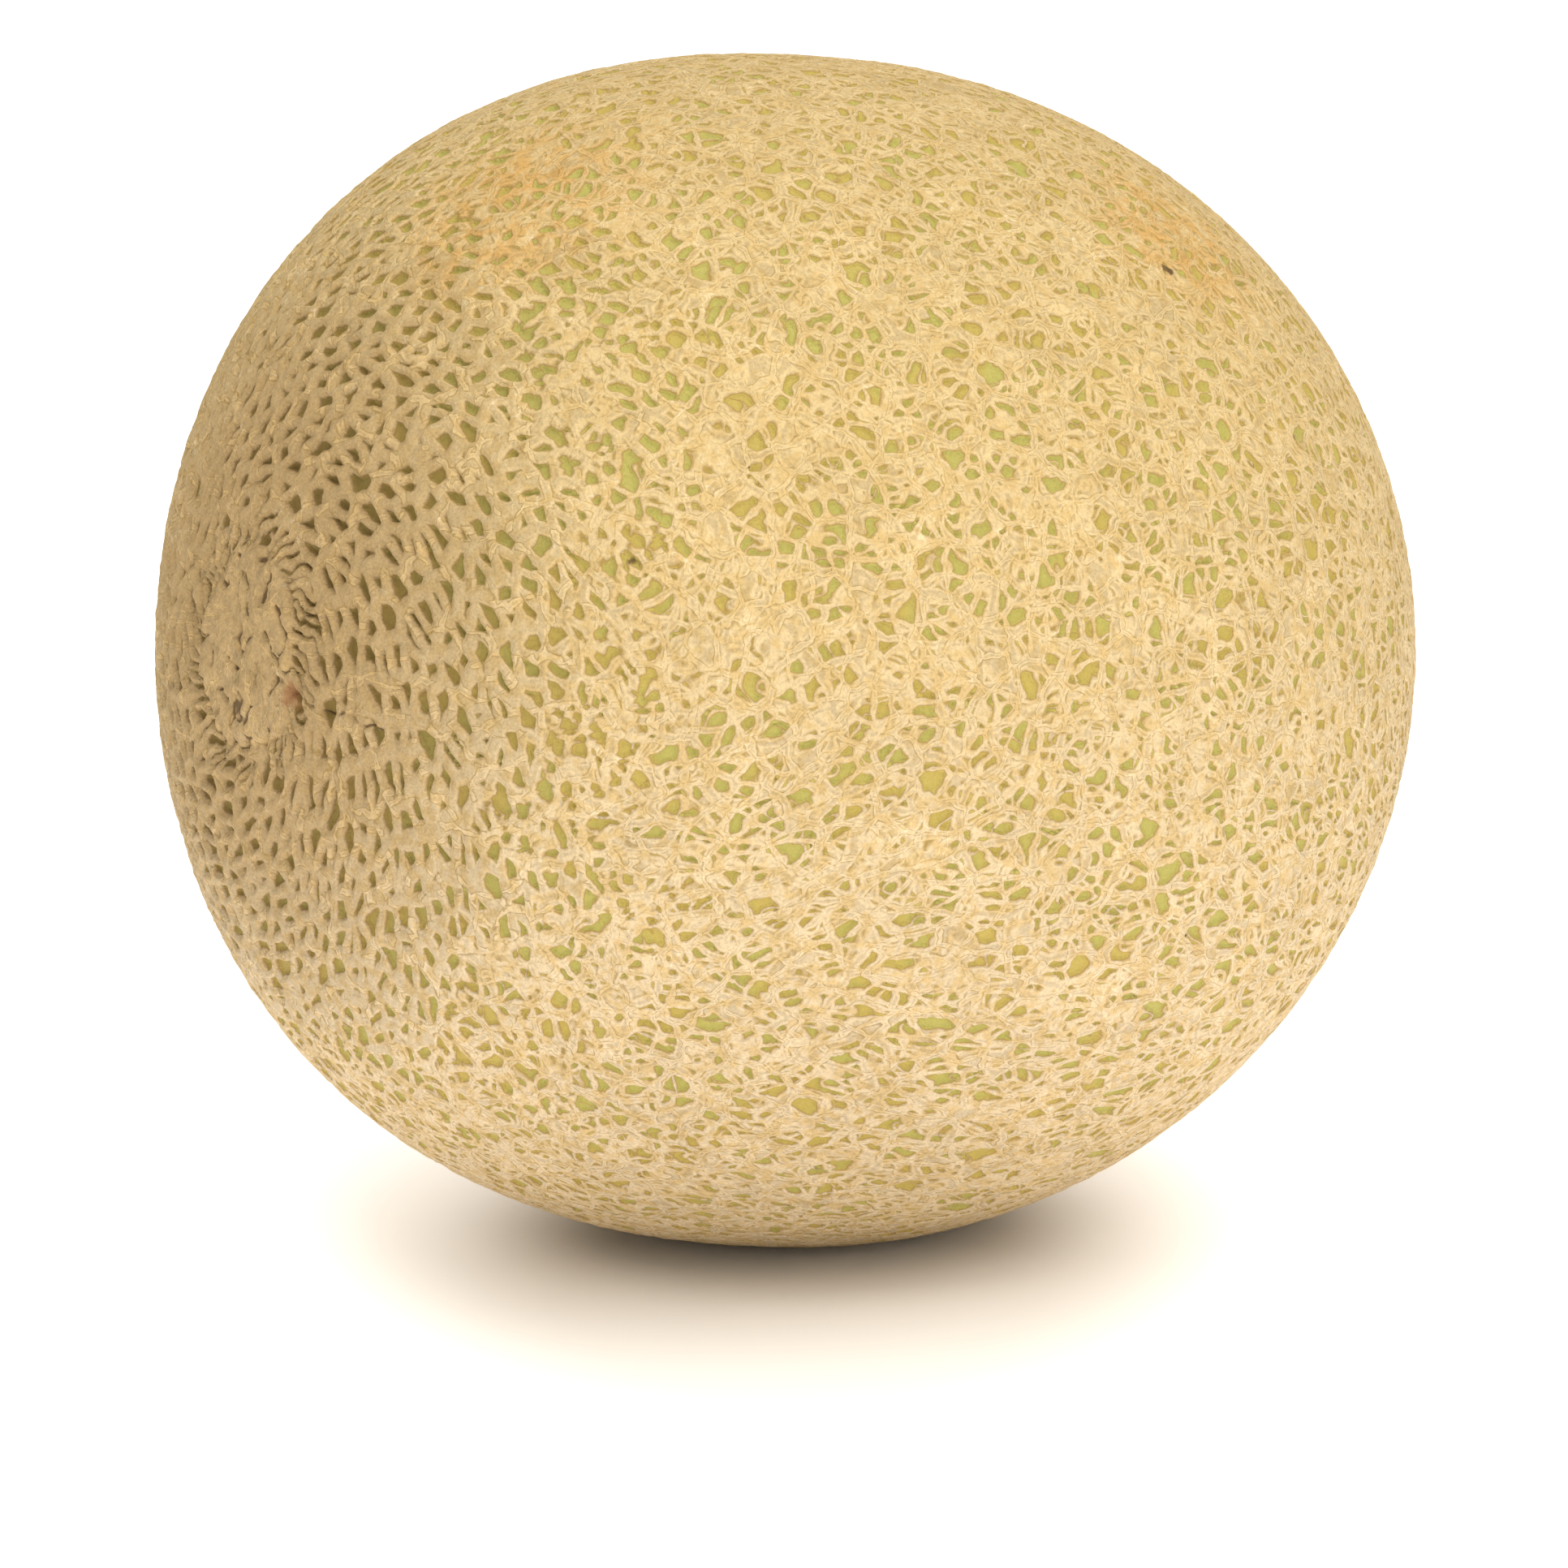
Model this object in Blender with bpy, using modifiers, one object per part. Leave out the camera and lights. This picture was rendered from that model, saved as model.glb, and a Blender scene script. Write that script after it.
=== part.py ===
import math
import random

import bmesh
import bpy
import numpy as np
from mathutils import Matrix, Vector, noise

for old in list(bpy.data.objects):
    bpy.data.objects.remove(old, do_unlink=True)

# The fruit's body, in metres, measured on the crests of its net.
# Its axis runs along X: the blossom scar is at -X and the stem's dish at +X.
SCAR_HALF_LENGTH = 0.0805
STEM_HALF_LENGTH = 0.0805
BODY_RADIUS = 0.0768
SCAR_SQUARENESS = 2.36
STEM_SQUARENESS = 2.02
BEND = 0.0009
LEAN = math.radians(8.6)

# The raised net, drawn larger than life: ridges round sunken cells.
CELLS = 595
SCATTER = 0.0034
RIDGE_HALF_WIDTH = 0.0021
WALL_RUN = 0.0008
CELL_DEPTH = 0.0016
CREST_RIPPLE = 0.00022
SHORT_RIDGE = 0.0072

# The corky plate round the blossom scar.
PLATE_RADIUS = 0.0115
PLATE_RING = 0.0085
PLATE_CLEAR = 0.0145
PLATE_RISE = 0.0004
PLATE_BUMPS = 0.0009

# The round dish that the slipped stem left.
DISH_RADIUS = 0.0092
DISH_DEPTH = 0.0032
DISH_BUTTON = 0.0028
DISH_RING = 0.0165
DISH_CLEAR = 0.0205

# The flat spot that the fruit rests on.
REST_CUT = 0.0014
REST_CLEAR = 0.0175

# Points along the body's half outline.
SAMPLES = 4000


def turned_area(along, radius):
    """Share of a turned surface's area up to each point of its profile."""
    run = np.hypot(np.diff(along), np.diff(radius))
    rings = run * (radius[1:] + radius[:-1])
    total = np.concatenate(([0.0], np.cumsum(rings)))
    return total / total[-1]


def body_profile():
    """The body's half outline, from the scar's pole to the stem's pole."""
    turn = np.linspace(0.0, math.pi, SAMPLES)
    cosine = np.cos(turn)
    sine = np.sin(turn)
    power = np.where(cosine > 0.0, SCAR_SQUARENESS, STEM_SQUARENESS)
    half = np.where(cosine > 0.0, SCAR_HALF_LENGTH, STEM_HALF_LENGTH)
    swell = (np.abs(cosine) ** power + np.abs(sine) ** power) ** (-1.0 / power)
    return -half * cosine * swell, BODY_RADIUS * sine * swell


def lengthening(from_scar, from_stem):
    """How much longer a cell is round the axis than along it."""
    return 1.0 + 1.15 * np.exp(-(from_scar / 0.044) ** 2) + 0.35 * np.exp(-(from_stem / 0.03) ** 2)


def ball_turns(along, radius):
    """The angle on a plain ball that stands for each point of the outline.

    Even cells on the ball then come out lengthened by the wanted amount on the body.
    """
    run = np.hypot(np.diff(along), np.diff(radius))
    travel = np.cumsum(run) - run / 2.0
    middle = np.maximum((radius[1:] + radius[:-1]) / 2.0, 1e-6)
    growth = np.cumsum(lengthening(travel, run.sum() - travel) * run / middle)
    growth -= growth[SAMPLES // 2]
    inner = 2.0 * np.arctan(np.exp(growth[:-1]))
    return np.concatenate(([0.0], inner, [math.pi]))


body_along, body_radius = body_profile()
body_share = turned_area(body_along, body_radius)
body_turn = np.arctan2(body_radius, -body_along)
ball_turn = ball_turns(body_along, body_radius)


def ball_point(share, spin):
    """A point on the plain ball, by its share of the body's area and its angle round the axis."""
    turn = float(np.interp(share, body_share, ball_turn))
    return Vector((-math.cos(turn), math.sin(turn) * math.cos(spin), math.sin(turn) * math.sin(spin)))


def on_body(turns, turn, spin):
    """The body's surface and the way out from it, at one angle from the scar's pole."""
    place = float(np.interp(turn, turns, np.arange(SAMPLES)))
    step = SAMPLES / 400.0
    marks = np.arange(SAMPLES)
    along = float(np.interp(place, marks, body_along))
    radius = float(np.interp(place, marks, body_radius))
    run = float(np.interp(place + step, marks, body_along) - np.interp(place - step, marks, body_along))
    rise = float(np.interp(place + step, marks, body_radius) - np.interp(place - step, marks, body_radius))
    sink = BEND * (radius / BODY_RADIUS) ** 2
    point = Vector((along, radius * math.cos(spin), radius * math.sin(spin) - sink))
    way = Vector((-rise, run * math.cos(spin), run * math.sin(spin))).normalized()
    return point, way


def from_ball(point):
    turn = math.atan2(math.hypot(point.y, point.z), -point.x)
    return on_body(ball_turn, turn, math.atan2(point.z, point.y))


def from_inside(point):
    """The body's surface outside a point that lies a little under it."""
    height = point.z + BEND * (point.y ** 2 + point.z ** 2) / BODY_RADIUS ** 2
    turn = math.atan2(math.hypot(point.y, height), -point.x)
    return on_body(body_turn, turn, math.atan2(height, point.y))


def soft_step(value, low, high):
    share = min(max((value - low) / (high - low), 0.0), 1.0)
    return share * share * (3.0 - 2.0 * share)


def finished_mesh(thing):
    """The mesh that the object's modifiers leave."""
    graph = bpy.context.evaluated_depsgraph_get()
    return bpy.data.meshes.new_from_object(thing.evaluated_get(graph))


parts = bpy.data.collections.new("cantaloupe_parts")
cutters = bpy.data.collections.new("cutters")
bpy.context.scene.collection.children.link(parts)
bpy.context.scene.collection.children.link(cutters)

# Seeds of the net's cells, in a spiral round a plain ball, each a little out of place.
# A round of seeds about each pole keeps the plate and the dish whole.
random.seed(41)
seeds = bmesh.new()
golden = math.pi * (3.0 - math.sqrt(5.0))
widest = int(np.argmax(body_radius))
plate_ring, plate_clear = np.interp((PLATE_RING, PLATE_CLEAR), body_radius[:widest], body_share[:widest])
stem_radius = body_radius[:widest:-1]
dish_ring, dish_clear = np.interp((DISH_RING, DISH_CLEAR), stem_radius, body_share[:widest:-1])
seeds.verts.new((-1.0, 0.0, 0.0))
seeds.verts.new((1.0, 0.0, 0.0))
for index in range(8):
    seeds.verts.new(ball_point(plate_ring, math.tau * (index + random.uniform(-0.2, 0.2)) / 8.0))
for index in range(10):
    seeds.verts.new(ball_point(dish_ring, math.tau * (index + random.uniform(-0.2, 0.2)) / 10.0))
for index in range(CELLS):
    share = (index + 0.5) / CELLS
    girth = float(np.interp(share, body_share, body_radius))
    share += random.gauss(0.0, SCATTER) * girth / (2.0 * BODY_RADIUS ** 2)
    spin = index * golden + random.gauss(0.0, SCATTER) / max(girth, SCATTER * 2.0)
    if plate_clear < share < dish_clear:
        seeds.verts.new(ball_point(share, spin))
bmesh.ops.convex_hull(seeds, input=seeds.verts)
bmesh.ops.recalc_face_normals(seeds, faces=seeds.faces)
seed_mesh = bpy.data.meshes.new("seeds")
seeds.to_mesh(seed_mesh)
seeds.free()
guide = bpy.data.objects.new("guide", seed_mesh)
cutters.objects.link(guide)
guide.hide_render = True
guide.display_type = "WIRE"

# The cells are the dual of the seeds' triangles.
tree = bpy.data.node_groups.new("cells", "GeometryNodeTree")
tree.interface.new_socket("Geometry", in_out="INPUT", socket_type="NodeSocketGeometry")
tree.interface.new_socket("Geometry", in_out="OUTPUT", socket_type="NodeSocketGeometry")
entry = tree.nodes.new("NodeGroupInput")
dual = tree.nodes.new("GeometryNodeDualMesh")
outlet = tree.nodes.new("NodeGroupOutput")
tree.links.new(entry.outputs[0], dual.inputs[0])
tree.links.new(dual.outputs[0], outlet.inputs[0])
guide.modifiers.new("cells", "NODES").node_group = tree

shell = bmesh.new()
shell.from_mesh(finished_mesh(guide))
bpy.data.objects.remove(guide, do_unlink=True)
for corner in shell.verts:
    corner.co = from_ball(corner.co)[0]

# The shortest sides close up, so that the cells have three to six corners.
corners = {face: len(face.verts) for face in shell.faces}
touched = set()
closing = []
for edge in sorted(shell.edges, key=lambda side: side.calc_length()):
    ends = set(edge.verts)
    if edge.calc_length() > SHORT_RIDGE or ends & touched:
        continue
    if min(corners[face] for face in edge.link_faces) > 4:
        closing.append(edge)
        touched |= ends
        for face in edge.link_faces:
            corners[face] -= 1
bmesh.ops.collapse(shell, edges=closing)
bmesh.ops.recalc_face_normals(shell, faces=shell.faces)

# Each edge between cells opens into a ridge, and the cells then shrink to its full width.
bands = bmesh.ops.bevel(
    shell,
    geom=shell.edges[:],
    offset=0.0002,
    offset_type="OFFSET",
    segments=1,
    affect="EDGES",
    clamp_overlap=True,
)["faces"]
ridges = set(bands)
cells = [face for face in shell.faces if face not in ridges]

# The lowest way out of the leaning body, where the flat spot will be.
down = Matrix.Rotation(-LEAN, 3, "Y") @ Vector((0.0, 0.0, -1.0))
stem_end = Vector((STEM_HALF_LENGTH, 0.0, 0.0))
scar_end = Vector((-SCAR_HALF_LENGTH, 0.0, 0.0))
lowest = max((corner.co for corner in shell.verts), key=lambda place: place.dot(down)).copy()

open_cells = []
for cell in cells:
    middle = cell.calc_center_median()
    sides = [(edge.verts[0].co + edge.verts[1].co) / 2.0 for edge in cell.edges]
    reach = sum((side - middle).length for side in sides) / len(sides)
    size = max(1.0 - RIDGE_HALF_WIDTH * random.uniform(0.75, 1.3) / reach, 0.35)
    for corner in cell.verts:
        corner.co = middle + (corner.co - middle) * size
    place = from_inside(middle)[0]
    at_scar = (place - scar_end).length < PLATE_RADIUS
    at_stem = (place - stem_end).length < DISH_RADIUS
    at_rest = (place - lowest).length < REST_CLEAR
    if not at_scar and not at_stem and not at_rest:
        open_cells.append(cell)

# Each open cell gets sloping walls and a floor under the crests.
bmesh.ops.inset_individual(shell, faces=open_cells, thickness=WALL_RUN, use_even_offset=True)
floor_depth = {}
for cell in open_cells:
    depth = CELL_DEPTH * random.uniform(0.85, 1.1)
    for corner in cell.verts:
        floor_depth[corner] = depth

# Every corner goes out to the body, at its own height. The net fades out toward the flat spot.
for corner in shell.verts:
    place, way = from_inside(corner.co)
    from_scar = (place - scar_end).length
    from_rest = (place - lowest).length
    on_plate = 1.0 - soft_step(from_scar, PLATE_RADIUS * 0.8, PLATE_RADIUS * 1.25)
    height = CREST_RIPPLE * noise.noise(place * 130.0)
    height += on_plate * (PLATE_RISE + PLATE_BUMPS * noise.noise(place * 330.0))
    height *= soft_step(from_rest, 0.012, 0.024)
    if corner in floor_depth:
        height -= floor_depth[corner] * soft_step(from_rest, 0.014, 0.026)
    corner.co = place + way * height

bmesh.ops.triangulate(shell, faces=shell.faces, quad_method="BEAUTY", ngon_method="BEAUTY")
bmesh.ops.recalc_face_normals(shell, faces=shell.faces)

body_mesh = bpy.data.meshes.new("cantaloupe")
shell.to_mesh(body_mesh)
shell.free()
body = bpy.data.objects.new("cantaloupe", body_mesh)
parts.objects.link(body)

# The dish's cutter is turned round the fruit's axis, with a button at its middle.
outline = [(0.006, 0.0), (0.006, DISH_RADIUS * 1.25)]
for step in range(8, -1, -1):
    share = step / 8.0
    button = 0.35 * (1.0 - soft_step(DISH_RADIUS * share, DISH_BUTTON * 0.4, DISH_BUTTON * 1.1))
    outline.append((DISH_DEPTH * (share ** 2.6 + button - 1.0), DISH_RADIUS * share))
dish_mesh = bpy.data.meshes.new("dish")
links = [(index, index + 1) for index in range(len(outline) - 1)]
dish_mesh.from_pydata([(along, 0.0, radius) for along, radius in outline], links, [])
dish = bpy.data.objects.new("dish", dish_mesh)
dish.location = (STEM_HALF_LENGTH - 0.0006, 0.0, 0.0)
dish.hide_render = True
dish.display_type = "WIRE"
cutters.objects.link(dish)
turning = dish.modifiers.new("turning", "SCREW")
turning.axis = "X"
turning.angle = math.tau
turning.steps = 20
turning.render_steps = 20
turning.use_merge_vertices = True
turning.merge_threshold = 0.00002
cut = body.modifiers.new("dish", "BOOLEAN")
cut.operation = "DIFFERENCE"
cut.object = dish
bpy.context.view_layer.update()

# The fruit leans with its scar up, is cut flat below, and stands on the ground's plane.
shape = bmesh.new()
shape.from_mesh(finished_mesh(body))
body.modifiers.remove(cut)
bmesh.ops.rotate(shape, verts=shape.verts, cent=(0.0, 0.0, 0.0), matrix=Matrix.Rotation(LEAN, 3, "Y"))
ground = min(corner.co.z for corner in shape.verts) + REST_CUT
below = shape.verts[:] + shape.edges[:] + shape.faces[:]
bmesh.ops.bisect_plane(
    shape, geom=below, dist=1e-7, plane_co=(0.0, 0.0, ground), plane_no=(0.0, 0.0, -1.0), clear_outer=True
)
rim = [edge for edge in shape.edges if edge.is_boundary]
bmesh.ops.holes_fill(shape, edges=rim, sides=0)
left = min(corner.co.x for corner in shape.verts)
right = max(corner.co.x for corner in shape.verts)
front = min(corner.co.y for corner in shape.verts)
back = max(corner.co.y for corner in shape.verts)
bmesh.ops.translate(shape, verts=shape.verts, vec=(-(left + right) / 2.0, -(front + back) / 2.0, -ground))
bmesh.ops.triangulate(shape, faces=shape.faces, quad_method="BEAUTY", ngon_method="BEAUTY")
bmesh.ops.recalc_face_normals(shape, faces=shape.faces)
shape.to_mesh(body_mesh)
shape.free()
body_mesh.shade_smooth()
body_mesh.set_sharp_from_angle(angle=math.radians(38.0))

# Pale buff cork over the whole rind.
cork = bpy.data.materials.new("netted_rind")
cork.use_nodes = True
surface = cork.node_tree.nodes["Principled BSDF"]
surface.inputs["Base Color"].default_value = (0.66, 0.50, 0.27, 1.0)
surface.inputs["Roughness"].default_value = 0.78
surface.inputs["Metallic"].default_value = 0.0
body_mesh.materials.clear()
body_mesh.materials.append(cork)
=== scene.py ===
import math

import bpy
import numpy as np
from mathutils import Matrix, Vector


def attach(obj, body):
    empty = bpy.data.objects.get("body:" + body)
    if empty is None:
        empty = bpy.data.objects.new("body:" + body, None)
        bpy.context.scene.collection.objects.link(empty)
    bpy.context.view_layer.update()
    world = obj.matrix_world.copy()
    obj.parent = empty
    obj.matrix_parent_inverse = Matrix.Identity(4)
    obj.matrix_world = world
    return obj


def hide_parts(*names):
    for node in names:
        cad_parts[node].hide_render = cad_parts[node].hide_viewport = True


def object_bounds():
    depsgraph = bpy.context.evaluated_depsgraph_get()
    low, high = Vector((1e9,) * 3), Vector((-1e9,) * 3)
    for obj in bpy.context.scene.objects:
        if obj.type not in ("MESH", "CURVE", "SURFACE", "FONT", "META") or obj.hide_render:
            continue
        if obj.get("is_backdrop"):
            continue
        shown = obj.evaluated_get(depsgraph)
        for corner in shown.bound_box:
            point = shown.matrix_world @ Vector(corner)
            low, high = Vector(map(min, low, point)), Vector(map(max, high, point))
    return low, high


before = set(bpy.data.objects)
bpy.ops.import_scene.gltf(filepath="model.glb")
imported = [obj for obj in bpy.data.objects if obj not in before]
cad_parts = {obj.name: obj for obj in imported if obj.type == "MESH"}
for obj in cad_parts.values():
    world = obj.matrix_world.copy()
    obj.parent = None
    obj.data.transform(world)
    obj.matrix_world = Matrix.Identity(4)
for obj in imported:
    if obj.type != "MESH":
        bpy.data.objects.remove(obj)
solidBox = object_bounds()

# Each salt takes a pattern from another place in the noise
noiseShift = (17.3, 5.9, -11.1)
cellShift = (13.7, -7.7, 3.1)


class Wire:
    # a node's socket that can be used in sums, in a shader or in geometry nodes
    def __init__(self, tree, socket):
        self.tree = tree
        self.socket = socket

    def make(self, kind, settings, inputs, output=0):
        node = self.tree.nodes.new(kind)
        for key, value in settings.items():
            setattr(node, key, value)
        for key, value in inputs.items():
            if isinstance(value, Wire):
                self.tree.links.new(value.socket, node.inputs[key])
            else:
                node.inputs[key].default_value = value
        return Wire(self.tree, node.outputs[output])

    def maths(self, operation, *others):
        values = dict(enumerate((self,) + others))
        return self.make("ShaderNodeMath", {"operation": operation}, values)

    def __add__(self, other):
        return self.maths("ADD", other)

    def __sub__(self, other):
        return self.maths("SUBTRACT", other)

    def __mul__(self, other):
        return self.maths("MULTIPLY", other)

    def __truediv__(self, other):
        return self.maths("DIVIDE", other)

    def __pow__(self, other):
        return self.maths("POWER", other)

    def __rsub__(self, other):
        return self.make("ShaderNodeMath", {"operation": "SUBTRACT"}, {0: other, 1: self})

    __radd__ = __add__
    __rmul__ = __mul__

    def least(self, other):
        return self.maths("MINIMUM", other)

    def most(self, other):
        return self.maths("MAXIMUM", other)

    def step(self, low, high):
        # rises softly from 0 at low to 1 at high
        ends = {"Value": self, "From Min": low, "From Max": high}
        return self.make("ShaderNodeMapRange", {"interpolation_type": "SMOOTHSTEP"}, ends)

    def moved(self, shift):
        return self.make("ShaderNodeVectorMath", {"operation": "ADD"}, {0: self, 1: shift})

    def scaled(self, share):
        return self.make("ShaderNodeVectorMath", {"operation": "SCALE"}, {0: self, "Scale": share})

    def noise(self, size, salt=0, detail=0.0, rough=0.5, output=0):
        spot = self.moved([salt * number for number in noiseShift]) if salt else self
        inputs = {"Vector": spot, "Scale": 1 / size, "Detail": detail, "Roughness": rough}
        return self.make("ShaderNodeTexNoise", {}, inputs, output)

    def wobble(self, size, salt=0, detail=0.0, rough=0.5):
        # noise from about -1 to 1
        return (self.noise(size, salt, detail, rough) - 0.5) * 3.2

    def edges(self, size, salt=0, random=1.0, space="3D"):
        # distance from the edges between cells of about this size
        spot = self.moved([salt * number for number in cellShift]) if salt else self
        inputs = {"Vector": spot, "Scale": 1 / size, "Randomness": random}
        settings = {"feature": "DISTANCE_TO_EDGE", "voronoi_dimensions": space}
        return self.make("ShaderNodeTexVoronoi", settings, inputs) * size

    def bent(self, size, salt, reach):
        # a place moved about by noise
        stir = self.noise(size, salt, 1.0, 0.65, output=1)
        return self.moved(stir.moved((-0.5, -0.5, -0.5)).scaled(reach))

    def ridge(self):
        # 0.5 at every whole number and 0 halfway between
        return (self.maths("FRACT") - 0.5).maths("ABSOLUTE")

    def part(self, order):
        # one of the three numbers of a vector
        return self.make("ShaderNodeSeparateXYZ", {}, {0: self}, order)

    def joined(self, second, third):
        # three wires as one vector
        return self.make("ShaderNodeCombineXYZ", {}, {0: self, 1: second, 2: third})

    def along(self, way):
        # how far it reaches along a direction
        return self.make("ShaderNodeVectorMath", {"operation": "DOT_PRODUCT"}, {0: self, 1: way}, 1)

    def away(self, centre):
        # distance from a point
        return self.make("ShaderNodeVectorMath", {"operation": "DISTANCE"}, {0: self, 1: centre}, 1)

    def awayFromLine(self, start, end):
        # distance from a straight line between two points
        start, end = Vector(start), Vector(end)
        shift = self.moved(-start)
        share = (shift.along(end - start) / (end - start).length_squared).most(0.0).least(1.0)
        foot = share.make("ShaderNodeVectorMath", {"operation": "SCALE"}, {0: end - start, "Scale": share})
        return shift.away(foot)

    def mix(self, low, high):
        # a colour between two others, with this wire as the share
        values = {0: self, 6: low, 7: high}
        return self.make("ShaderNodeMix", {"data_type": "RGBA"}, values, 2)


# Lengths in metres. The fruit's axis runs along X, with the blossom scar at -X,
# and the whole fruit leans so that its scar end is higher.
body = {
    "scarHalf": 0.0805,
    "stemHalf": 0.0805,
    "radius": 0.0768,
    "scarPower": 2.36,
    "stemPower": 2.02,
    "bend": 0.0009,
    "lean": math.radians(8.6),
    "centre": (0.000535, 0.0, 0.076382),
    "marks": 4000,  # points that the outline's formula is read at
    "near": 0.07,  # how far out the search for the skin starts
}


def halfOutline():
    turn = np.linspace(0, math.pi, body["marks"])
    cosine = np.cos(turn)
    sine = np.sin(turn)
    power = np.where(cosine > 0, body["scarPower"], body["stemPower"])
    half = np.where(cosine > 0, body["scarHalf"], body["stemHalf"])
    swell = (np.abs(cosine) ** power + np.abs(sine) ** power) ** (-1 / power)
    return -half * cosine * swell, body["radius"] * sine * swell


outAlong, outRadius = halfOutline()
outRun = np.hypot(np.diff(outAlong), np.diff(outRadius))
outTravel = np.concatenate(([0], np.cumsum(outRun)))  # distance over the skin from the scar's middle
outTurn = np.arctan2(outRadius, -outAlong)
slopeAlong = np.gradient(outAlong, outTravel)
slopeRadius = np.gradient(outRadius, outTravel)


def softStep(value, low, high):
    share = np.clip((value - low) / (high - low), 0, 1)
    return share * share * (3 - 2 * share)


def onSkin(points):
    # the skin outside points near it, the way out there, the distance from the scar's middle
    # and the turn round the fruit's axis
    height = points[:, 2] + body["bend"] * (points[:, 1] ** 2 + points[:, 2] ** 2) / body["radius"] ** 2
    turn = np.arctan2(np.hypot(points[:, 1], height), -points[:, 0])
    spin = np.arctan2(height, points[:, 1])
    along = np.interp(turn, outTurn, outAlong)
    radius = np.interp(turn, outTurn, outRadius)
    travel = np.interp(turn, outTurn, outTravel)
    run = np.interp(turn, outTurn, slopeAlong)
    rise = np.interp(turn, outTurn, slopeRadius)
    sink = body["bend"] * (radius / body["radius"]) ** 2
    place = np.stack([along, radius * np.cos(spin), radius * np.sin(spin) - sink], 1)
    out = np.stack([-rise, run * np.cos(spin), run * np.sin(spin)], 1)
    return place, out, travel, spin


# Lengths in millimetres. A pair of ends is where a change starts and where it is complete.
net = {
    "cell": 3.5,  # one layer of ridges, and a coarser one that lies with it
    "cellWall": 0.31,
    "strandCell": 5.3,
    "strandWall": 0.46,
    "tab": 0.12,  # short ridges that end inside a cell
    "wall": 0.26,  # width of a ridge's steep side
    "worm": 3.1,  # wormlike ridges round the scar
    "wormWall": 0.86,
    "wormEnds": (45, 76),
    "twist": 0.75,
    "chartShare": 0.334,
    "chartPower": 1.25,
    "folds": 46,  # short folds beside the scar's plate
    "foldSlit": 0.24,
    "foldWidth": 6.1,
    "foldEnds": (15.5, 20),
    "plate": 12.8,
    "plateCentre": (-79.9, -1.0, 83.8),
    "plateEnds": (16, 12),
    "dishRadius": 9.2,
    "dishDepth": 3.2,
    "button": 2.8,
    "steps": 286,  # squares along each side of a piece of skin
    "quickSteps": 150,
}

# The net is laid out on a second body of revolution, where its cells are even. They come out
# larger near the scar, and on the lower half they are drawn out along the fruit.
weave = {
    "around": 0.82,
    "aroundRise": 0.18,
    "aroundEnds": (55, 100),
    "along": 0.8,
    "alongRise": 0.2,
    "alongEnds": (50, 90),
    "poleRadius": 18.0,
    "polePower": 6,
    "poleEnd": 150,
    "lowerEnds": (-0.1, 0.6),
    "lowerWider": 0.14,
    "lowerShorter": 0.36,
}
outAway = outTravel * 1000
aroundScale = weave["around"] + weave["aroundRise"] * softStep(outAway, *weave["aroundEnds"])
alongScale = weave["along"] + weave["alongRise"] * softStep(outAway, *weave["alongEnds"])
evenRadius = aroundScale * outRadius * 1000
blend = weave["polePower"]
weaveRadius = (weave["poleRadius"] ** blend + evenRadius ** blend) ** (1 / blend)
weaveRadius = np.where(outAway > weave["poleEnd"], evenRadius, weaveRadius)
weaveRise = np.diff(weaveRadius)
weaveRun = (alongScale[1:] + alongScale[:-1]) / 2 * outRun * 1000
weaveStep = np.sqrt(np.maximum(weaveRun ** 2 - weaveRise ** 2, (0.25 * weaveRun) ** 2))
weaveAlong = np.concatenate(([0], np.cumsum(weaveStep)))


def onWeave(travel, spin):
    lower = softStep(-np.sin(spin), *weave["lowerEnds"])
    radius = np.interp(travel, outTravel, weaveRadius) * (1 + weave["lowerWider"] * lower)
    along = np.interp(travel, outTravel, weaveAlong) - weaveAlong[-1] / 2
    along = along * (1 - weave["lowerShorter"] * lower)
    return np.stack([along, radius * np.cos(spin), radius * np.sin(spin)], 1)


def layOf(place, spot, away):
    # what the net is drawn from: smooth values that are kept with the skin's points
    fromStem = outAway[-1] - away
    fromPlate = place.away(net["plateCentre"])
    fine = spot.wobble(1.15, 3)
    cellWall = net["cellWall"] + 0.05 * spot.wobble(14, 2) + 0.13 * fine
    strandWall = net["strandWall"] + 0.16 * spot.wobble(6, 5) + 0.1 * fine
    tabLimit = net["tab"] + 0.2 * spot.wobble(3.7, 17)
    rim = 1.3 * place.wobble(6, 6) + 0.7 * place.wobble(2.2, 7)
    bare = ((fromPlate - net["plate"] - rim) * 0.8).least((fromStem - net["dishRadius"] - 1.4) * 0.8)
    # round the scar, a flat chart of cells that are drawn out and turned as they go outward
    side = place.bent(2.8, 31, 1.9).bent(7, 30, 2.6)
    side = side.moved([-number for number in net["plateCentre"]])
    turn = side.part(2).maths("ARCTAN2", side.part(1))
    turn = turn - net["twist"] * fromPlate.maths("LOGARITHM", math.e)
    reach = net["chartShare"] * fromPlate ** net["chartPower"]
    wormWall = net["wormWall"] + 0.2 * place.wobble(3.2, 32) + 0.13 * place.wobble(1.3, 36)
    plain = (away + 13 * place.wobble(10, 33)).step(*net["wormEnds"])
    return {
        "stirred": spot.bent(2.4, 1, 1.7),
        "walls": cellWall.joined(strandWall, spot.wobble(2.4, 16)),
        "chart": (reach * turn.maths("COSINE")).joined(reach * turn.maths("SINE"), wormWall),
        "ends": tabLimit.joined(fromPlate, bare),
        "shares": plain.joined(away, 0.7 * place.wobble(4, 35)),
    }


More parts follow.
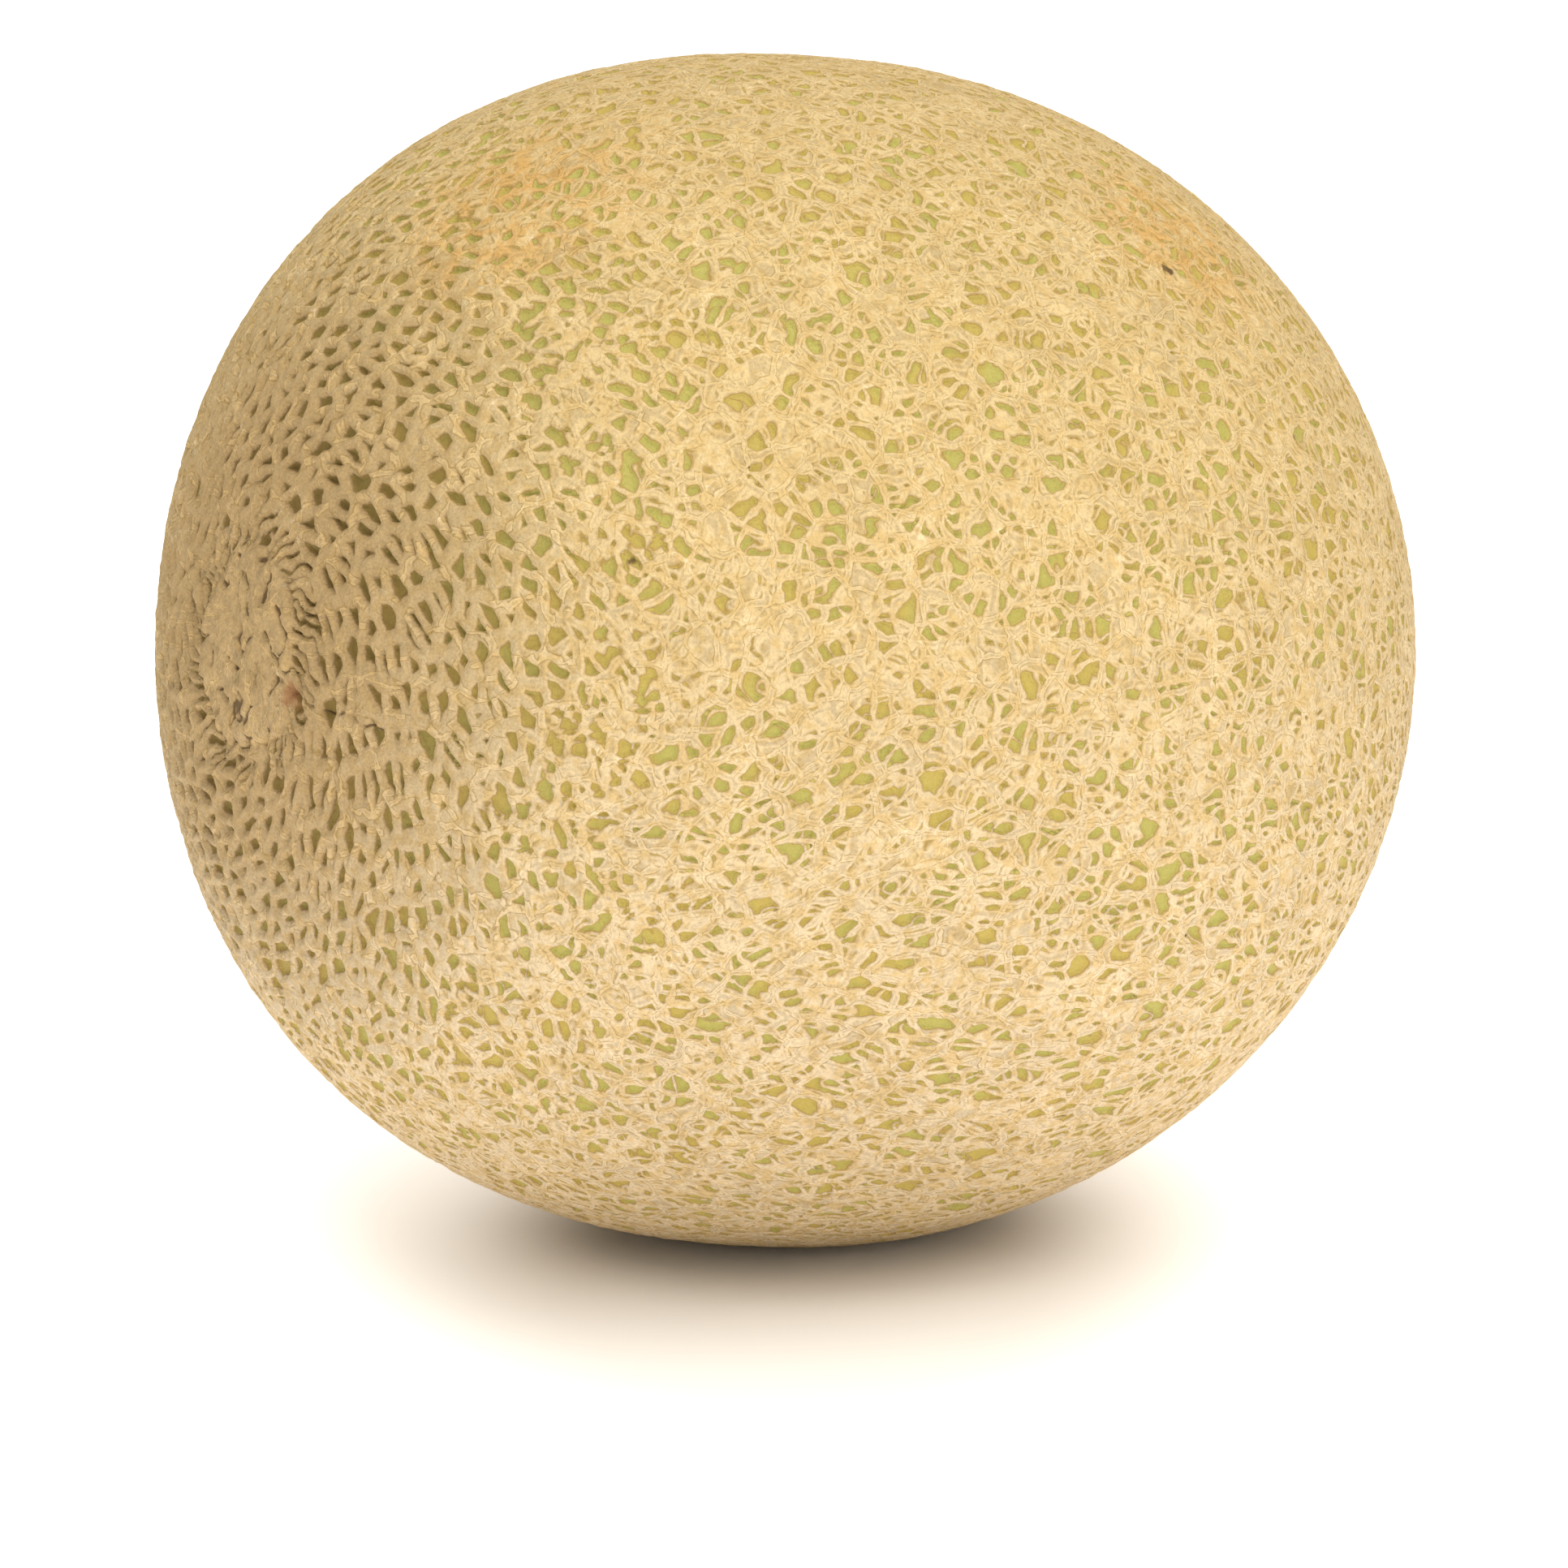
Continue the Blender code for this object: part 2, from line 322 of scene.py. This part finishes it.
def gapOf(lay):
    # distance into an open cell, or under zero into the cork, and the same for two layers of ridges
    stirred = lay["stirred"]
    cells = stirred.edges(net["cell"], 0, 0.85) - lay["walls"].part(0)
    strands = stirred.edges(net["strandCell"], 4, 0.85) - lay["walls"].part(1)
    tabs = lay["walls"].part(2).maths("ABSOLUTE") - lay["ends"].part(0)
    loose = cells.least(tabs).least(strands)
    # round the scar, slits between wormlike ridges, and short folds beside the plate
    chart, fromPlate, plain = lay["chart"], lay["ends"].part(1), lay["shares"].part(0)
    worms = chart.edges(net["worm"], 0, 0.9, "2D") - chart.part(2)
    turn = chart.part(1).maths("ARCTAN2", chart.part(0)) / (2 * math.pi) * net["folds"]
    slit = net["foldSlit"] + 1.5 * (net["wormWall"] - chart.part(2))
    folds = slit - (turn + lay["shares"].part(2)).ridge() * fromPlate * (net["foldWidth"] / net["folds"])
    worms = folds + fromPlate.step(*net["foldEnds"]) * (worms - folds)
    gap = worms + plain * (loose - worms) + 0.7 * plain * (1 - plain)
    return gap.least(lay["ends"].part(2)), cells, strands


# Marks that the photo shows, with their places in millimetres
marks = {
    "flecks": ((-54.9, -56.0, 101.6), (25.2, -48.8, 129.7)),
    "stainRight": (31, -42, 133),
    "stainRightSize": 20,
    "stainLeft": (-49, -17, 139.6),
    "stainLeftSize": 23,
    "redSpot": (-79.5, -13.4, 80.1),
    "crack": ((-79.0, -17.5, 79.6), (-76.3, -29.6, 78.9), (-72.4, -38.5, 78.0)),
}


def paintOf(place):
    # what the colours are drawn from, and the cracks of the scar's plate
    onPlate = place.away(net["plateCentre"]).step(*net["plateEnds"])
    hold = 3 * (1 - onPlate) + 1.5 * place.noise(3.6, 18).step(0.53, 0.43)
    fleck = place.away(marks["flecks"][0]).least(place.away(marks["flecks"][1]))
    stain = place.away(marks["stainRight"]) / marks["stainRightSize"]
    stain = stain.least(place.away(marks["stainLeft"]) / marks["stainLeftSize"])
    stain = stain.step(1.0, 0.2) * place.noise(2.6, 22, 2.0, 0.7).step(0.38, 0.62)
    red = (place.away(marks["redSpot"]) + 1.1 * place.wobble(0.9, 26, 1.0)).step(2.6, 0.6)
    rindTone = place.noise(11, 25, 1.0).step(0.44, 0.58)
    return {
        "cracked": place.bent(3, 12, 2.5),
        "cracks": (2.0 * place.wobble(4.5, 11, 1.0)).joined(hold, fleck + 0.5 * place.wobble(1.0, 27)),
        "tones": place.noise(8, 21, 2.0, 0.65).joined(place.noise(1.5, 34, 1.0, 0.6), stain),
        "marks": rindTone.joined(onPlate * (place.noise(1.6, 28, 2.0, 0.7) - 0.5), red),
    }


def crackOf(lay):
    # distance from the plate's cracks and from the long crack that runs out of it
    plate = lay["cracks"].part(0).maths("ABSOLUTE") + lay["cracks"].part(1)
    start, middle, end = marks["crack"]
    near = lay["cracked"].awayFromLine(start, middle)
    return plate.least(near).least(lay["cracked"].awayFromLine(middle, end))


# Lengths in millimetres. What a name with scar gives is added near the scar.
relief = {
    "scarEnds": (72, 20),
    "depth": 0.52,
    "scarDepth": 0.85,
    "scarRise": 0.35,
    "shoulder": 0.3,
    "scarShoulder": 0.85,
    "drop": 0.06,
    "scarDrop": 0.75,
    "lump": 0.07,
    "scarLump": 0.08,
    "crackDepth": 0.6,
}


def reliefOf(lay, place, gap):
    # height over the smooth outline: flat cork with soft shoulders, rounder and deeper near the scar
    away = lay["shares"].part(1)
    fromStem = outAway[-1] - away
    nearScar = away.step(*relief["scarEnds"])
    width = relief["shoulder"] + relief["scarShoulder"] * nearScar
    shoulder = 1 - (gap * -1 / width).least(1.0)
    lumps = (relief["lump"] + relief["scarLump"] * nearScar) * place.wobble(1.7, 8)
    lumps = lumps + 0.06 * place.wobble(4.5, 9)
    crest = lumps - (relief["drop"] + relief["scarDrop"] * nearScar) * shoulder * shoulder
    floor = 0.03 * place.wobble(1.9, 10) - relief["depth"] - relief["scarDepth"] * nearScar
    height = crest + gap.step(0, net["wall"]) * (floor - crest) + relief["scarRise"] * nearScar
    onPlate = lay["ends"].part(1).step(*net["plateEnds"])
    crust = 0.32 * place.wobble(2.2, 13, 2.0, 0.7) + 0.4 * place.wobble(6.5, 14)
    height = height + onPlate * crust - relief["crackDepth"] * crackOf(lay).step(0.4, 0.1)
    inDish = fromStem.step(net["dishRadius"] + 0.5, net["dishRadius"] - 0.3)
    share = (fromStem / net["dishRadius"]).least(1.0)
    button = fromStem.step(net["button"] * 1.1, net["button"] * 0.4)
    sunk = net["dishDepth"] * (1 - share ** 2.6 - 0.35 * button) + 0.1 * place.wobble(1.3, 15, 1.0)
    return height * (1 - inDish) - sunk * inDish


def makeNetNodes(name, whole):
    # works out the net at a mesh's points; the whole of it also gives the height and the paint's values
    group = bpy.data.node_groups.new(name, "GeometryNodeTree")
    for inOut in ("INPUT", "OUTPUT"):
        group.interface.new_socket("Geometry", in_out=inOut, socket_type="NodeSocketGeometry")
    mesh = Wire(group, group.nodes.new("NodeGroupInput").outputs[0])

    def readIn(key, kind="FLOAT_VECTOR"):
        return mesh.make("GeometryNodeInputNamedAttribute", {"data_type": kind}, {"Name": key})

    def store(key, value, kind="FLOAT_VECTOR"):
        inputs = {"Geometry": mesh, "Name": key, "Value": value}
        return mesh.make("GeometryNodeStoreNamedAttribute", {"data_type": kind}, inputs)

    place = mesh.make("GeometryNodeInputPosition", {}, {})
    away = readIn("away", "FLOAT")
    lay = layOf(place, readIn("weave"), away)
    if whole:
        lay.update(paintOf(place))
    for key, value in lay.items():
        mesh = store(key, value)
    kept = {key: readIn(key) for key in lay}
    mesh = store("gap", gapOf(kept)[0], "FLOAT")
    if whole:
        mesh = store("height", reliefOf(kept, place, readIn("gap", "FLOAT")), "FLOAT")
    group.links.new(mesh.socket, group.nodes.new("NodeGroupOutput").inputs[0])
    return group, tuple(lay)


gapNodes, _ = makeNetNodes("netGap", False)
wholeNodes, keptNames = makeNetNodes("netWhole", True)


def spotOnSkin(travel, spin):
    along = np.interp(travel, outTravel, outAlong)
    radius = np.interp(travel, outTravel, outRadius)
    sink = body["bend"] * (radius / body["radius"]) ** 2
    return np.stack([along, radius * np.cos(spin), radius * np.sin(spin) - sink], 1)


def leaned(points):
    cosine, sine = math.cos(body["lean"]), math.sin(body["lean"])
    along = points[:, 0] * cosine + points[:, 2] * sine
    height = points[:, 2] * cosine - points[:, 0] * sine
    return np.stack([along, points[:, 1], height], 1) + np.array(body["centre"])


def readNet(travel, spin, whole=False):
    # the net's values at points on the skin, in millimetres
    place = leaned(spotOnSkin(travel, spin)) * 1000
    mesh = bpy.data.meshes.new("sample")
    mesh.vertices.add(len(travel))
    mesh.vertices.foreach_set("co", place.ravel())
    onNet = mesh.attributes.new("weave", "FLOAT_VECTOR", "POINT")
    onNet.data.foreach_set("vector", onWeave(travel, spin).ravel())
    away = mesh.attributes.new("away", "FLOAT", "POINT")
    away.data.foreach_set("value", travel * 1000)
    sample = bpy.data.objects.new("sample", mesh)
    bpy.context.collection.objects.link(sample)
    sample.modifiers.new("net", "NODES").node_group = wholeNodes if whole else gapNodes
    made = sample.evaluated_get(bpy.context.evaluated_depsgraph_get()).data
    wanted = ("gap", "height") + keptNames if whole else ("gap",)
    found = {}
    for name in wanted:
        width = 1 if name in ("gap", "height") else 3
        values = np.empty(len(travel) * width, np.float32)
        made.attributes[name].data.foreach_get("value" if width == 1 else "vector", values)
        found[name] = values.astype(float) if width == 1 else values.reshape(-1, 3)
    bpy.data.objects.remove(sample)
    bpy.data.meshes.remove(mesh)
    return found


# Six square grids, as on a blown-up cube, cover the fruit between them.
skinParts = {
    "skin_scar_end": ((-1, 0, 0), (0, -1, 0), (0, 0, 1)),
    "skin_stem_end": ((1, 0, 0), (0, 1, 0), (0, 0, 1)),
    "skin_front": ((0, -1, 0), (1, 0, 0), (0, 0, 1)),
    "skin_back": ((0, 1, 0), (-1, 0, 0), (0, 0, 1)),
    "skin_top": ((0, 0, 1), (1, 0, 0), (0, 1, 0)),
    "skin_bottom": ((0, 0, -1), (1, 0, 0), (0, -1, 0)),
}
steps = net["steps"]


def addGrid(name):
    bpy.ops.object.select_all(action="DESELECT")
    bpy.ops.mesh.primitive_grid_add(x_subdivisions=steps, y_subdivisions=steps, size=2, calc_uvs=True)
    piece = bpy.context.object
    piece.name = name
    piece.data.name = name
    return piece


def cornersOf(mesh):
    flat = np.empty(len(mesh.vertices) * 3)
    mesh.vertices.foreach_get("co", flat)
    return flat.reshape(-1, 3)


skins = {name: addGrid(name) for name in skinParts}
ways = []
for name, (middle, across, up) in skinParts.items():
    side = np.tan(cornersOf(skins[name].data)[:, :2] * math.pi / 4)
    way = np.array(middle) + side[:, :1] * np.array(across) + side[:, 1:] * np.array(up)
    ways.append(way / np.linalg.norm(way, axis=1, keepdims=True))
ways = np.concatenate(ways)
_, firstOf, sharedOf = np.unique(np.round(ways, 6), axis=0, return_index=True, return_inverse=True)
sharedOf = sharedOf.ravel()
points = onSkin(ways[firstOf] * body["near"])[0]
print("skin points", len(points), flush=True)


def settleOnEdges(points, spacing):
    # points near a ridge's edge or foot slide onto it, so that the walls are crisp
    nudge = 0.05
    leastSteep = 0.25  # a gentler slope counts as this, so that no point is thrown far
    reach = 0.55 * spacing
    slanted = [0.31, 0.87, 0.38]  # any way that isn't a point's own way out
    for _ in range(2):
        _, out, travel, spin = onSkin(points)
        sideA = np.cross(out, slanted)
        sideA /= np.linalg.norm(sideA, axis=1, keepdims=True)
        sideB = np.cross(out, sideA)
        gap = readNet(travel, spin)["gap"]
        slopeA = (readNet(*onSkin(points + sideA * nudge / 1000)[2:])["gap"] - gap) / nudge
        slopeB = (readNet(*onSkin(points + sideB * nudge / 1000)[2:])["gap"] - gap) / nudge
        steep = np.maximum(slopeA ** 2 + slopeB ** 2, leastSteep)
        target = np.where(gap > net["wall"] / 2, net["wall"], 0.0)
        miss = (target - gap) / steep
        length = np.abs(miss) * np.sqrt(steep)
        miss *= np.where(length < reach, 1, 0)
        slide = (slopeA * miss)[:, None] * sideA + (slopeB * miss)[:, None] * sideB
        points = onSkin(points + slide / 1000)[0]
    return points


points = settleOnEdges(points, round(body["radius"] * 1000) * math.pi / 2 / steps)
print("points settled on the ridges' edges", flush=True)
place, out, travel, spin = onSkin(points)
kept = readNet(travel, spin, True)
skinPoints = leaned(place + out * (kept["height"] / 1000)[:, None])
skinPoints[:, 2] = np.maximum(skinPoints[:, 2], 0.0)
print("cork share", round(float((kept["gap"] < 0).mean()), 3), flush=True)

skinCorners = skinPoints[sharedOf]
perPart = (steps + 1) ** 2
partOf = {name: slice(order * perPart, (order + 1) * perPart) for order, name in enumerate(skinParts)}


def openInEdit(piece, mode):
    bpy.ops.object.select_all(action="DESELECT")
    bpy.context.view_layer.objects.active = piece
    piece.select_set(True)
    bpy.ops.object.mode_set(mode="EDIT")
    bpy.ops.mesh.select_mode(type=mode)
    bpy.ops.mesh.select_all(action="SELECT")


def shapeSkin(piece, corners):
    # the grid takes its place, and its rim runs in to the fruit's middle, so that the piece is closed
    piece.data.vertices.foreach_set("co", corners.ravel())
    openInEdit(piece, "EDGE")
    bpy.ops.mesh.quads_convert_to_tris(quad_method="SHORTEST_DIAGONAL", ngon_method="BEAUTY")
    bpy.ops.mesh.select_all(action="DESELECT")
    bpy.ops.mesh.select_non_manifold(
        extend=False,
        use_wire=False,
        use_boundary=True,
        use_multi_face=False,
        use_non_contiguous=False,
        use_verts=False,
    )
    bpy.ops.mesh.extrude_edges_move()
    bpy.ops.mesh.merge(type="CENTER")
    bpy.ops.object.mode_set(mode="OBJECT")
    piece.data.vertices[perPart].co = Vector(body["centre"])


normals = np.zeros((len(points), 3))
for name, piece in skins.items():
    shapeSkin(piece, skinCorners[partOf[name]])
    mesh = piece.data
    faces = np.empty(len(mesh.polygons) * 3, np.int32)
    mesh.polygons.foreach_get("vertices", faces)
    faces = faces.reshape(-1, 3)
    faces = faces[(faces < perPart).all(1)]
    local = skinCorners[partOf[name]]
    slant = np.cross(local[faces[:, 1]] - local[faces[:, 0]], local[faces[:, 2]] - local[faces[:, 0]])
    shared = sharedOf[partOf[name]]
    for corner in range(3):
        for axis in range(3):
            normals[:, axis] += np.bincount(shared[faces[:, corner]], slant[:, axis], len(points))
normals /= np.maximum(np.linalg.norm(normals, axis=1, keepdims=True), 1e-12)
print("skin shaped", flush=True)

# Shares of the flat layout: the skin fills most of it, and the hidden sides stand in lanes beside it
flatLayout = {
    "skinWidth": 0.94,
    "lanes": 4,
    "laneStart": 0.95,
    "laneStep": 0.011,
    "laneWidth": 0.009,
    "laneFoot": 0.005,
    "laneHeight": 0.98,
}


def finishSkin(piece, part):
    mesh = piece.data
    extra = len(mesh.vertices) - perPart
    shared = np.concatenate([sharedOf[part], np.zeros(extra, int)])
    for key in keptNames:
        values = np.ascontiguousarray(kept[key][shared], np.float32)
        mesh.attributes.new(key, "FLOAT_VECTOR", "POINT").data.foreach_set("vector", values.ravel())
    mesh.shade_smooth()
    # the skin and the hidden sides each have their own ground in the flat layout
    loopPoint = np.empty(len(mesh.loops), np.int32)
    mesh.loops.foreach_get("vertex_index", loopPoint)
    faces = loopPoint.reshape(-1, 3)
    hidden = (faces >= perPart).any(1)
    layout = np.empty(len(mesh.loops) * 2, np.float32)
    mesh.uv_layers[0].name = "OFBake"
    mesh.uv_layers[0].data.foreach_get("uv", layout)
    layout = layout.reshape(-1, 3, 2)
    layout[:, :, 0] *= flatLayout["skinWidth"]
    count = int(hidden.sum())
    lanes = flatLayout["lanes"]
    row = np.arange(count)
    lane = flatLayout["laneStart"] + flatLayout["laneStep"] * (row * lanes // count)
    rise = (row % (count / lanes)) / (count / lanes) * flatLayout["laneHeight"] + flatLayout["laneFoot"]
    low = np.stack([lane, rise], 1)
    aside = np.stack([lane + flatLayout["laneWidth"], rise], 1)
    high = np.stack([lane, rise + 0.9 / steps], 1)
    layout[hidden] = np.stack([low, aside, high], 1)
    mesh.uv_layers[0].data.foreach_set("uv", layout.ravel())
    own = normals[shared]
    mesh.normals_split_custom_set_from_vertices(own.tolist())
    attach(piece, "root")
    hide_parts("cantaloupe")


for name, piece in skins.items():
    finishSkin(piece, partOf[name])
    print(name, "points", len(piece.data.vertices), "faces", len(piece.data.polygons), flush=True)

# Colours of the cork and of the rind in the net's cells
looks = {
    "corkHigh": (0.53, 0.393, 0.19, 1),
    # the lower cork's colour: partly its own paler tone towards the ground, partly painted light from the
    # floor
    "corkLow": (0.56, 0.44, 0.278, 1),
    "corkScar": (0.41, 0.275, 0.12, 1),
    "corkGold": (0.48, 0.325, 0.122, 1),
    "corkStain": (0.50, 0.285, 0.078, 1),
    "corkWhite": (0.78, 0.68, 0.48, 1),
    "crackBrown": (0.10, 0.055, 0.02, 1),
    "spotRed": (0.30, 0.13, 0.05, 1),
    "rindGreen": (0.46, 0.405, 0.10, 1),
    "rindYellow": (0.51, 0.385, 0.09, 1),
    # partly the rind's own brown, partly painted shade at the walls' feet and in the cork's creases
    "rindBrownAndShade": (0.41, 0.265, 0.072, 1),
    # painted shade for the deep slits by the scar
    "rindSlitShade": (0.20, 0.12, 0.034, 1),
}

# How much of each colour is laid over the cork or the rind, and where in millimetres it starts
# and is complete: by height for the pale cork, and by distance from the scar's middle
cover = {
    "paleEnds": (30, 125),
    "dullEnds": (60, 18),
    "deepEnds": (70, 18),
    "gold": 0.65,
    "dull": 0.85,
    "stain": 0.85,
    "flake": 0.3,
    # painted shade in the creases where one ridge lies over another
    "creaseShade": 0.5,
    # painted shade in the deep slits by the scar
    "slitShade": 0.85,
    "red": 0.75,
    "crack": 0.85,
}

# How light the cork is, and what each feature adds to it or takes from it; the rim highlight is painted
# light, and the crease and valley shade are painted shade
light = {
    "cork": 0.555,
    "grain": 0.64,
    "blotch": 0.3,
    "rimHighlight": 0.24,
    "creaseShade": -0.16,
    "valleyShade": -0.3,
    "plate": 1.1,
}

finish = {
    "grainSize": 0.4,  # in millimetres
    "grainDepth": 0.00016,  # in metres
    "corkRough": 0.85,
    "rindSmoother": 0.3,
    "shine": 0.3,
}


def makeSkinLooks():
    look = bpy.data.materials.new("nettedRind")
    look.use_nodes = True
    tree = look.node_tree
    shader = tree.nodes["Principled BSDF"]
    start = Wire(tree, None)
    lay = {}
    for key in keptNames:
        lay[key] = start.make("ShaderNodeAttribute", {"attribute_name": key}, {}, "Vector")
    place = start.make("ShaderNodeTexCoord", {}, {}, "Object").scaled(1000)
    gap, cells, strands = gapOf(lay)
    away = lay["shares"].part(1)
    nearScar = away.step(*cover["deepEnds"])

    # cork: paler below, dull by the scar, with a few stains and flakes, painted highlights as pale lips
    # along the rims and painted shade in the creases where one ridge lies over another
    # paler below: partly the cork's own paler tone towards the ground, partly painted light from the floor
    cork = place.part(2).step(*cover["paleEnds"]).mix(looks["corkLow"], looks["corkHigh"])
    cork = (lay["tones"].part(1).step(0.42, 0.62) * cover["gold"]).mix(cork, looks["corkGold"])
    cork = (away.step(*cover["dullEnds"]) * cover["dull"]).mix(cork, looks["corkScar"])
    cork = (lay["tones"].part(2) * cover["stain"]).mix(cork, looks["corkStain"])
    flake = place.wobble(1.3, 23).maths("ABSOLUTE").step(0.07, 0.02)
    flake = flake * lay["tones"].part(0).step(0.52, 0.62)
    cork = (flake * cover["flake"]).mix(cork, looks["corkWhite"])
    grain = place.noise(finish["grainSize"], 20, 1.0, 0.8)
    over = cells.most(strands)
    # painted highlight: pale lips along the rims of both layers of ridges
    rim = gap.step(-0.4, -0.18) * gap.step(0.0, -0.08)
    rimHighlight = rim.most(over.step(-0.3, -0.14) * over.step(0.02, -0.05))
    # painted shade: creases where one ridge lies over another
    creaseShade = over.step(-0.05, 0.0) * over.step(0.12, 0.04) * gap.step(-0.05, -0.15)
    # painted shade: the cork darkens towards the ridges' feet near the scar
    valleyShade = nearScar * gap.step(-0.5, 0.0)
    # the creases' painted shade also pulls the cork towards brown
    cork = (creaseShade * cover["creaseShade"]).mix(cork, looks["rindBrownAndShade"])
    shade = light["cork"] + light["grain"] * grain + light["blotch"] * lay["tones"].part(0)
    shade = shade + light["rimHighlight"] * rimHighlight + light["creaseShade"] * creaseShade + light["valleyShade"] * valleyShade
    cork = cork.scaled(shade + light["plate"] * lay["marks"].part(1))

    # rind in the cells: green or yellow at the middle, brown along the walls, partly its own brown and
    # partly painted shade, and painted shade that darkens the deep slits by the scar
    rind = lay["marks"].part(0).mix(looks["rindGreen"], looks["rindYellow"])
    # brown along the walls: partly the rind's own brown, partly painted shade at the walls' feet
    rind = gap.step(0.18, 0.09).mix(rind, looks["rindBrownAndShade"])
    # painted shade darkens the rind in the deep slits by the scar
    rind = (nearScar * cover["slitShade"]).mix(rind, looks["rindSlitShade"]).scaled(0.88 + 0.24 * grain)
    colour = gap.step(0.02, 0.1).mix(cork, rind)

    # marks: the red spot beside the plate, cracks and two dark flecks
    colour = (lay["marks"].part(2) * cover["red"]).mix(colour, looks["spotRed"])
    crack = crackOf(lay).step(0.26, 0.06).most(lay["cracks"].part(2).step(0.9, 0.5))
    colour = (crack * cover["crack"]).mix(colour, looks["crackBrown"])
    tree.links.new(colour.socket, shader.inputs["Base Color"])
    rough = finish["corkRough"] - finish["rindSmoother"] * gap.step(0.05, 0.25) * (1 - nearScar)
    tree.links.new(rough.socket, shader.inputs["Roughness"])
    shader.inputs["Specular IOR Level"].default_value = finish["shine"]
    bumpValues = {"Strength": 1.0, "Distance": finish["grainDepth"], "Height": grain}
    bump = start.make("ShaderNodeBump", {}, bumpValues)
    tree.links.new(bump.socket, shader.inputs["Normal"])
    return look


skinLook = makeSkinLooks()
for piece in skins.values():
    piece.data.materials.clear()
    piece.data.materials.append(skinLook)

# The photo's view: angles in degrees, lengths in metres, and right and up in pixels of the photo
view = {
    "azimuth": -30,
    "elevation": 12,
    "distance": 1.0,
    "span": 0.2029,
    "pixels": 1932,
    "right": -19.1,
    "up": -170.2,
}
azimuth = math.radians(view["azimuth"])
elevation = math.radians(view["elevation"])
back = Vector((
    math.sin(azimuth) * math.cos(elevation),
    -math.cos(azimuth) * math.cos(elevation),
    math.sin(elevation),
))
right = Vector((math.cos(azimuth), math.sin(azimuth), 0))
up = back.cross(right)
flat = Vector((back.x, back.y, 0)).normalized()
shift = (right * view["right"] + up * view["up"]) * view["span"] / view["pixels"]
aim = Vector(body["centre"]) + shift
bpy.ops.object.camera_add(location=aim + back * view["distance"])
camera = bpy.context.object
camera.rotation_euler = back.to_track_quat("Z", "Y").to_euler()
camera.data.lens = 36 * view["distance"] / view["span"]
camera.data.clip_end = 20
bpy.context.scene.camera = camera

# Room: the floor glows a little away from the fruit, like a lit white sweep, and less in its shadow,
# which is wider sideways and lies a little toward the camera
room = {
    "floorSize": 8,
    "floorColour": (0.95, 0.935, 0.92, 1),
    "floorGlow": 0.66,
    "touchEnds": (0.026, 0.048),
    "touchShare": 0.2,
    "shadowEnds": (0.045, 0.13),
    "shadowShare": 0.8,
    "shadowWidth": 0.6,
    "shadowForward": 0.035,
    "skyColour": (1, 0.985, 0.96, 1),
    "skyGlow": 0.44,
}
bpy.ops.mesh.primitive_plane_add(size=room["floorSize"], location=(0, 0, 0))
ground = bpy.context.object
ground.name = "floor"
floorLook = bpy.data.materials.new("paleFloor")
floorLook.use_nodes = True
floorShader = floorLook.node_tree.nodes["Principled BSDF"]
floorShader.inputs["Base Color"].default_value = room["floorColour"]
floorShader.inputs["Roughness"].default_value = 0.9
floorShader.inputs["Specular IOR Level"].default_value = 0.0
floorShader.inputs["Emission Strength"].default_value = room["floorGlow"]
floorStart = Wire(floorLook.node_tree, None)
floorPlace = floorStart.make("ShaderNodeTexCoord", {}, {}, "Object")
sideways = floorPlace.along(right / room["shadowWidth"])
forward = floorPlace.along(flat) - room["shadowForward"]
shadowEdge = (sideways * sideways + forward * forward) ** 0.5
touch = floorPlace.away((0.0, 0.0, 0.0)).step(*room["touchEnds"])
glow = room["touchShare"] * touch + room["shadowShare"] * shadowEdge.step(*room["shadowEnds"])
glow = glow.mix((0, 0, 0, 1), (1, 1, 1, 1))
floorLook.node_tree.links.new(glow.socket, floorShader.inputs["Emission Color"])
ground.data.materials.append(floorLook)
ground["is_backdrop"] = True

world = bpy.data.worlds.new("studio")
bpy.context.scene.world = world
world.use_nodes = True
world.node_tree.nodes["Background"].inputs["Color"].default_value = room["skyColour"]
world.node_tree.nodes["Background"].inputs["Strength"].default_value = room["skyGlow"]
bpy.context.scene.view_settings.view_transform = "Standard"

# Soft lamps, placed in metres to the right, toward the camera and up, with a power in watts
lamps = {
    "skyLamp": {"at": (0.1, 0.4, 1.5), "size": 1.6, "power": 19.5, "colour": (1.0, 0.985, 0.96)},
    "keyLamp": {"at": (0.65, 1.55, 0.85), "size": 1.2, "power": 8.6, "colour": (1.0, 0.97, 0.92)},
}
for name, lampValues in lamps.items():
    toRight, toCamera, high = lampValues["at"]
    bpy.ops.object.light_add(type="AREA", location=right * toRight + flat * toCamera + Vector((0, 0, high)))
    lamp = bpy.context.object
    lamp.name = name
    lamp.data.size = lampValues["size"]
    lamp.data.energy = lampValues["power"]
    lamp.data.color = lampValues["colour"]
    lamp.rotation_euler = (lamp.location - Vector(body["centre"])).to_track_quat("Z", "Y").to_euler()

sizes = {"solid": solidBox, "visual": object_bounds()}
sizes = {name: [[float(number) for number in corner] for corner in box] for name, box in sizes.items()}
print("done", flush=True)
